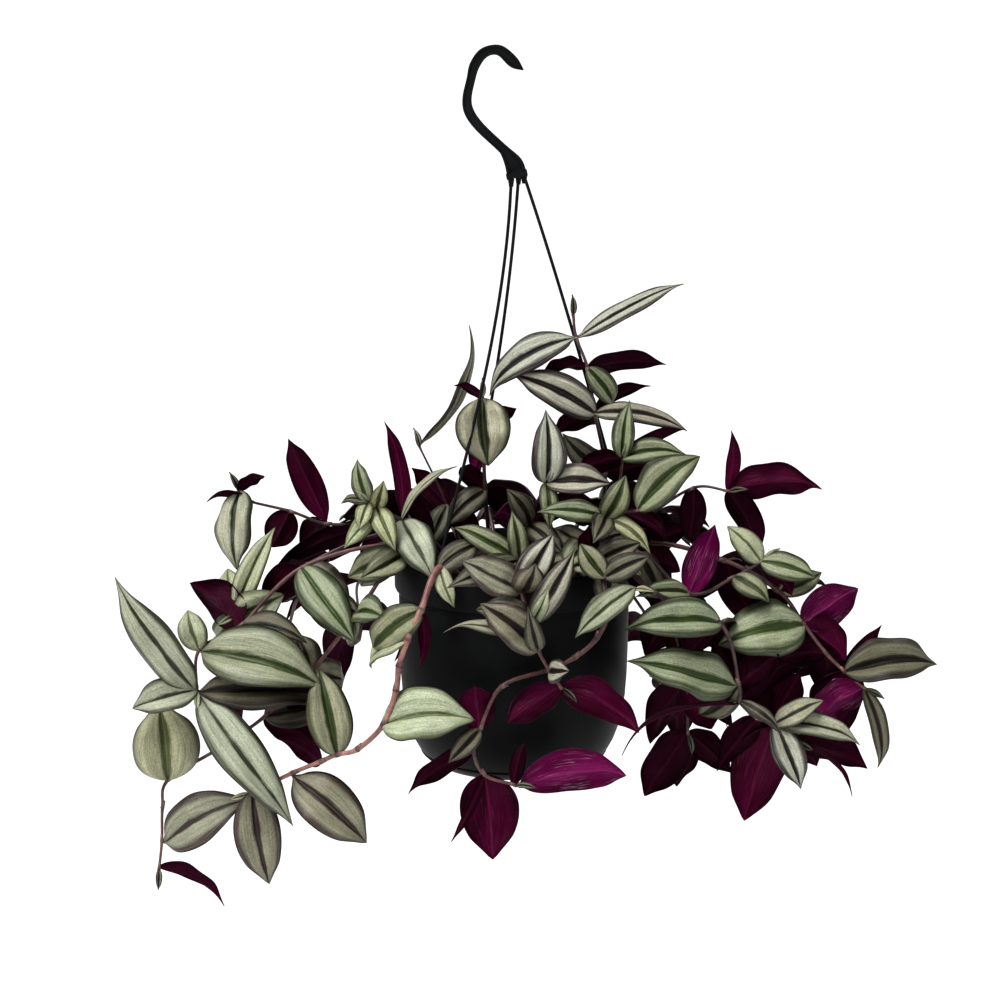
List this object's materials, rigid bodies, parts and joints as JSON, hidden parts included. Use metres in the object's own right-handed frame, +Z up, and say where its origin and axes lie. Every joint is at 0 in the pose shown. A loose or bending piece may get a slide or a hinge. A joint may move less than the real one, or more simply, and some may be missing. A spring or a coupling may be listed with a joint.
{
  "type": "potted tradescantia",
  "caption": "Trailing house plant with striped, pointed leaves in a round hanging pot, held by an open hook and three thin strands.",
  "frame": {"origin": "inside top of the hook's arch, where it rests on a rod", "axes": "+Z up along the hanging direction, +X to the right and -Y to the front of the plant"},
  "size_m": [0.503, 0.3015, 0.5246],
  "materials": {
    "pot_plastic": "satin charcoal plastic",
    "saucer_plastic": "satin charcoal plastic",
    "hanger_plastic": "satin black plastic",
    "potting_soil": "rough damp potting mix",
    "stem_skin": "smooth fleshy skin",
    "leaf_skin": "striped leaf with a soft silvery sheen"
  },
  "bodies": {
    "root": {"drip_saucer": "saucer_plastic", "hanger_hook": "hanger_plastic", "leaf_01": "leaf_skin", "leaf_02": "leaf_skin", "leaf_03": "leaf_skin", "leaf_04": "leaf_skin", "leaf_05": "leaf_skin", "leaf_06": "leaf_skin", "leaf_07": "leaf_skin", "leaf_08": "leaf_skin", "leaf_09": "leaf_skin", "leaf_10": "leaf_skin", "leaf_11": "leaf_skin", "leaf_12": "leaf_skin", "leaf_13": "leaf_skin", "leaf_14": "leaf_skin", "leaf_15": "leaf_skin", "leaf_16": "leaf_skin", "leaf_17": "leaf_skin", "leaf_18": "leaf_skin", "leaf_19": "leaf_skin", "leaf_20": "leaf_skin", "leaf_21": "leaf_skin", "leaf_22": "leaf_skin", "leaf_23": "leaf_skin", "leaf_24": "leaf_skin", "leaf_25": "leaf_skin", "leaf_26": "leaf_skin", "leaf_27": "leaf_skin", "pot": "pot_plastic", "soil": "potting_soil", "stem_back_1": "stem_skin", "stem_back_2": "stem_skin", "stem_back_3": "stem_skin", "stem_back_4": "stem_skin", "stem_back_5": "stem_skin", "stem_back_6": "stem_skin", "stem_climbing": "stem_skin", "stem_crown_front": "stem_skin", "stem_crown_left": "stem_skin", "stem_crown_right": "stem_skin", "stem_far_right": "stem_skin", "stem_front_centre": "stem_skin", "stem_front_left": "stem_skin", "stem_front_right": "stem_skin", "stem_hanging_front": "stem_skin", "stem_high_right": "stem_skin", "stem_inner_right": "stem_skin", "stem_left_long": "stem_skin", "stem_left_short": "stem_skin", "stem_low_left": "stem_skin", "stem_low_right": "stem_skin", "stem_right_front": "stem_skin", "stem_tall_left": "stem_skin", "stem_upper_left": "stem_skin", "stem_upper_right": "stem_skin", "stem_young_left": "stem_skin", "strand_back_left": "hanger_plastic", "strand_front_left": "hanger_plastic", "strand_right": "hanger_plastic"}
  },
  "joints": []
}
